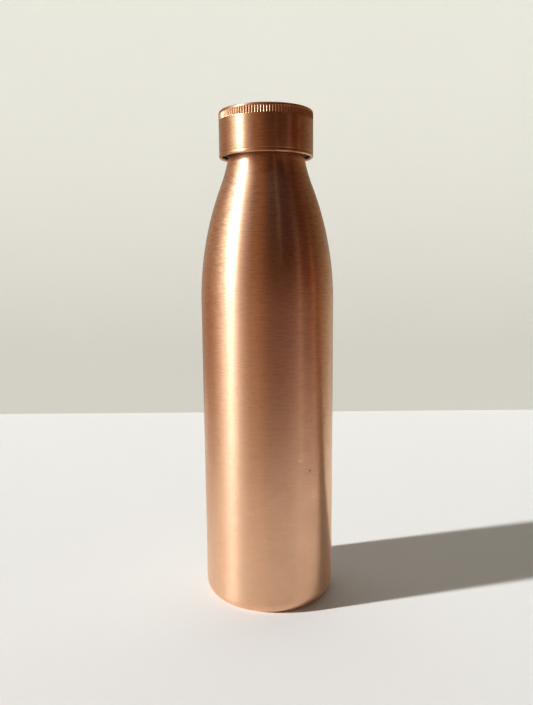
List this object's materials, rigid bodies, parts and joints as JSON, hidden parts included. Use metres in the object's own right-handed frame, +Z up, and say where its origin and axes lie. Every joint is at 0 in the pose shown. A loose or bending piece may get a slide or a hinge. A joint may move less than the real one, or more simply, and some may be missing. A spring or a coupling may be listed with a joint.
{
  "type": "water bottle",
  "caption": "Tall round copper bottle with a straight barrel, sloping shoulder and narrow neck, closed by a wide screw cap with a knurled grip.",
  "frame": {"origin": "centre of the foot ring, on the surface that the bottle stands on", "axes": "+Z up along the bottle's axis, through the neck and the cap; +X and +Y are horizontal, and the bottle is round about +Z"},
  "size_m": [0.072, 0.072, 0.2644],
  "materials": {
    "copper_body": null,
    "copper_base": "bare copper, turned, with fine rings and light wear",
    "copper_cap": "bare copper, satin, brushed around the axis, knurled grip",
    "collar_brass": "turned brass",
    "filler_metal": "brazed fillet, smooth",
    "black_plastic": "moulded polypropylene, fine texture",
    "silicone": "translucent white silicone, matt"
  },
  "bodies": {
    "bottle": {"body_shell": "copper_body", "base_disc": "copper_base", "base_braze": "filler_metal", "neck_collar": "collar_brass", "neck_braze": "filler_metal"},
    "washer": {"cap_gasket": "silicone"},
    "cap": {"cap_shell": "copper_cap", "cap_insert": "black_plastic"}
  },
  "joints": [
    {"name": "cap_rise", "type": "slide", "parent": "bottle", "child": "washer", "axis": [0, 0, 1], "range_m": [0, 0.024]},
    {"name": "cap_turn", "type": "hinge", "parent": "washer", "child": "cap", "pos_m": [0, 0, 0.253], "axis": [0, 0, 1], "range_deg": [0, 2160]}
  ],
  "couplings": [
    {"joint": "cap_rise", "follows": "cap_turn", "m_per_rad": 0.00063662}
  ]
}
